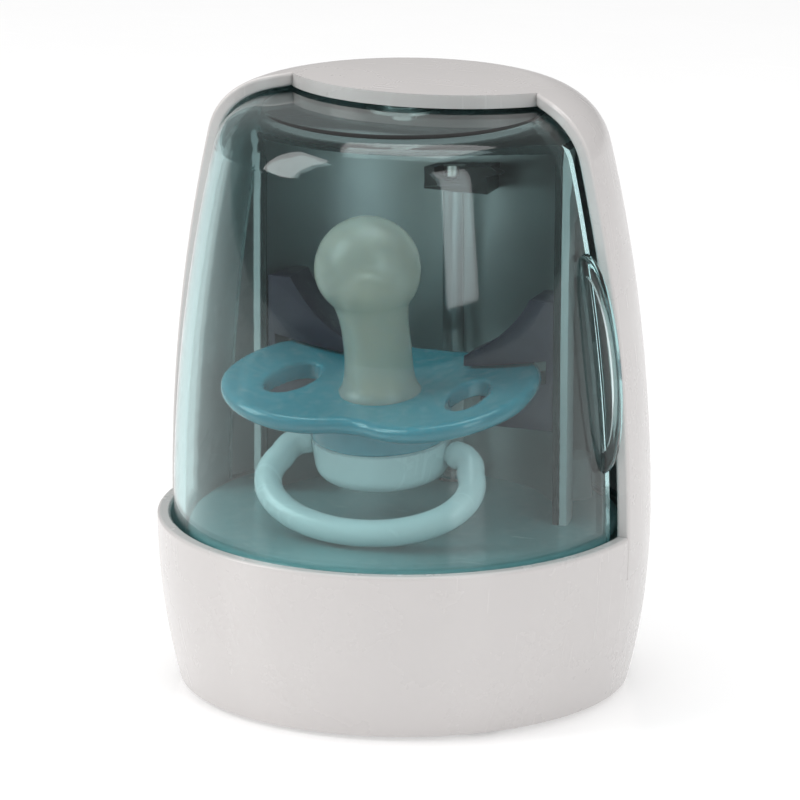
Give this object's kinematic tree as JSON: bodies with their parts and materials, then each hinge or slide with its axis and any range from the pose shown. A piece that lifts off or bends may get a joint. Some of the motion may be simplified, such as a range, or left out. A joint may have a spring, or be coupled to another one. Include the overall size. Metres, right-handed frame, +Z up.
{
  "type": "pacifier sterilizer case",
  "caption": "Round desktop lamp case for sterilizing a pacifier: white base and rear hood, clear teal swivelling lid, bright liner, upright lamp, cradle and a pacifier.",
  "frame": {"origin": "centre of the footprint, on the table", "axes": "+Z up, the open front of the hood and the pacifier face -Y, the lid's grip is at +X when shut"},
  "size_m": [0.08, 0.08, 0.098],
  "materials": {
    "white_shell": "glossy warm white moulded shell",
    "white_inner": "satin white moulding",
    "lid_clear": "clear teal moulding",
    "magnet": "plated",
    "steel": "zinc plated",
    "tray_plastic": "pale grey teal moulding",
    "reflector_metal": "bright rolled sheet",
    "housing_plastic": "satin moulding",
    "lamp_glass": "clear",
    "holder_black": "satin black",
    "lead_insulation": "insulated lead",
    "cradle_violet": "dark violet moulding",
    "shield_teal": "glossy teal",
    "teat_silicone": "translucent silicone",
    "plug_cream": "cream",
    "knob_pale": "pale teal",
    "ring_pale": "pale teal",
    "cell_jacket": "printed jacket, bare",
    "contact_metal": "nickel plated spring strip",
    "board_green": "solder mask",
    "transformer_tape": "polyester tape",
    "switch_black": "satin black",
    "button_teal": "glossy teal",
    "pipe_clear": "frosted clear",
    "led_lens": "tinted epoxy",
    "capacitor_sleeve": "sleeved can",
    "foot_rubber": "soft rubber"
  },
  "bodies": {
    "case": {"hood_shell": "white_shell", "base_shell": "white_shell", "bottom_plate": "white_inner", "pivot_washer": "steel", "pivot_screw": "steel", "floor_tray": "tray_plastic", "reflector": "reflector_metal", "column_housing": "housing_plastic", "lamp_tube": "lamp_glass", "lamp_cap_upper": "steel", "lamp_cap_lower": "steel", "lamp_holder_upper": "holder_black", "lamp_holder_lower": "holder_black", "lamp_lead": "lead_insulation", "cradle_right": "cradle_violet", "cradle_left": "cradle_violet", "battery_cell_1": "cell_jacket", "battery_cell_2": "cell_jacket", "battery_cell_3": "cell_jacket", "contacts_right": "contact_metal", "contacts_left": "contact_metal", "circuit_board": "board_green", "transformer": "transformer_tape", "tact_switch": "switch_black", "light_pipe": "pipe_clear", "status_led": "led_lens", "capacitor": "capacitor_sleeve", "control_chip": "switch_black", "reed_switch": "lamp_glass", "base_screws": "steel", "tray_screws": "steel", "rubber_foot_1": "foot_rubber", "rubber_foot_2": "foot_rubber", "rubber_foot_3": "foot_rubber", "rubber_foot_4": "foot_rubber"},
    "lid": {"lid_shell": "lid_clear", "lid_magnet": "magnet"},
    "pacifier": {"pacifier_shield": "shield_teal", "pacifier_teat": "teat_silicone", "teat_plug": "plug_cream", "pacifier_knob": "knob_pale"},
    "ring": {"pacifier_ring": "ring_pale"},
    "button": {"power_button": "button_teal", "switch_plunger": "switch_black"},
    "door": {"battery_door": "white_inner"}
  },
  "joints": [
    {"name": "lid_swivel", "type": "hinge", "parent": "case", "child": "lid", "pos_m": [0, 0, 0.0944], "axis": [0, 0, -1], "range_deg": [0, 160]},
    {"name": "pacifier_slide", "type": "slide", "parent": "case", "child": "pacifier", "axis": [0, -1, 0], "range_m": [0, 0.003]},
    {"name": "ring_swing", "type": "hinge", "parent": "pacifier", "child": "ring", "pos_m": [0, -0.0092, 0.0406], "axis": [-1, 0, 0], "range_deg": [0, 46]},
    {"name": "button_press", "type": "slide", "parent": "case", "child": "button", "axis": [0, -1, 0], "range_m": [0, 0.0005], "stiffness_N_per_m": 2000, "springref_m": -0.0003},
    {"name": "door_hinge", "type": "hinge", "parent": "case", "child": "door", "pos_m": [-0.0246, 0, 0.0016], "axis": [0, 1, 0], "range_deg": [0, 100]}
  ]
}
